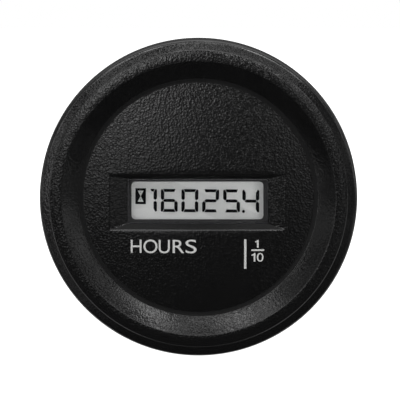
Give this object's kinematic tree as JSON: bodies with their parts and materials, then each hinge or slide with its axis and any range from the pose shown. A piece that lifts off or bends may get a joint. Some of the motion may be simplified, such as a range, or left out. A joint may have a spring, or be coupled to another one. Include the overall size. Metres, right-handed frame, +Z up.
{
  "type": "digital hour meter",
  "caption": "Round panel-mounted hour meter with a liquid crystal display, rear blade terminals and a stirrup clamp that grips the panel.",
  "frame": {"origin": "on the barrel's axis, in the plane where the gasket meets the front of the panel", "axes": "the face looks along -Y, the barrel runs back along +Y through the panel, +Z is up and +X is to the reader's right"},
  "size_m": [0.0584, 0.0465, 0.0584],
  "materials": {
    "case_plastic": "black, leather-grained moulding",
    "cover_plastic": "black, finely spark-eroded moulding",
    "ink": "pale grey pad print",
    "clear_lens": "clear moulded window",
    "mask_print": "black print under the window",
    "polariser": "grey polarising film",
    "display_glass": "clear thin glass",
    "seal_glue": "cured glue",
    "segments": "dark display segments",
    "reflector": "grey diffuse reflector film",
    "frame_plastic": "white moulding",
    "strip_rubber": "layered conductive elastomer",
    "board": "green solder mask on glass-fibre board",
    "zinc_steel": "bright zinc plate",
    "clamp_steel": "zinc-plated strip with rolled surface",
    "chip_plastic": "moulded chip package",
    "can_metal": "drawn can",
    "suppressor_coat": "blue epoxy coat",
    "resistor_coat": "tan lacquer",
    "chip_ceramic": "dark glazed film",
    "capacitor_ceramic": "tan ceramic",
    "capacitor_sleeve": "dark blue shrink sleeve",
    "terminal_brass": "tin-plated brass",
    "seal_rubber": "black rubber"
  },
  "bodies": {
    "meter": {"front_case": "case_plastic", "legend_print": "ink", "window_lens": "clear_lens", "window_mask": "mask_print", "lcd_front_polariser": "polariser", "lcd_front_glass": "display_glass", "lcd_edge_seal": "seal_glue", "lcd_segments": "segments", "lcd_rear_glass": "display_glass", "lcd_reflector": "reflector", "display_frame": "frame_plastic", "upper_contact_strip": "strip_rubber", "lower_contact_strip": "strip_rubber", "circuit_board": "board", "board_screws": "zinc_steel", "controller_chip": "chip_plastic", "memory_chip": "chip_plastic", "clock_crystal": "can_metal", "bridge_rectifier": "chip_plastic", "surge_suppressor": "suppressor_coat", "dropping_resistors": "resistor_coat", "chip_resistors": "chip_ceramic", "chip_capacitors": "capacitor_ceramic", "reservoir_capacitor": "capacitor_sleeve", "voltage_regulator": "chip_plastic", "terminal_left": "terminal_brass", "terminal_right": "terminal_brass", "rear_cover": "cover_plastic", "cover_seal": "seal_rubber", "panel_gasket": "seal_rubber", "stud_left": "zinc_steel", "stud_right": "zinc_steel"},
    "clamp": {"stirrup_clamp": "clamp_steel", "lock_washers": "zinc_steel"},
    "left_nut": {"nut_left": "zinc_steel"},
    "right_nut": {"nut_right": "zinc_steel"}
  },
  "joints": [
    {"name": "clamp_travel", "type": "slide", "parent": "meter", "child": "clamp", "axis": [0, 1, 0], "range_m": [-0.0024, 0.0045]},
    {"name": "left_nut_spin", "type": "hinge", "parent": "clamp", "child": "left_nut", "pos_m": [-0.014, 0.0311, 0], "axis": [0, 1, 0], "range_deg": [-1234.5, 2314.5]},
    {"name": "right_nut_spin", "type": "hinge", "parent": "clamp", "child": "right_nut", "pos_m": [0.014, 0.0311, 0], "axis": [0, 1, 0], "range_deg": [-1234.5, 2314.5]}
  ],
  "couplings": [
    {"joint": "left_nut_spin", "follows": "clamp_travel", "rad_per_m": 8976},
    {"joint": "right_nut_spin", "follows": "clamp_travel", "rad_per_m": 8976}
  ]
}
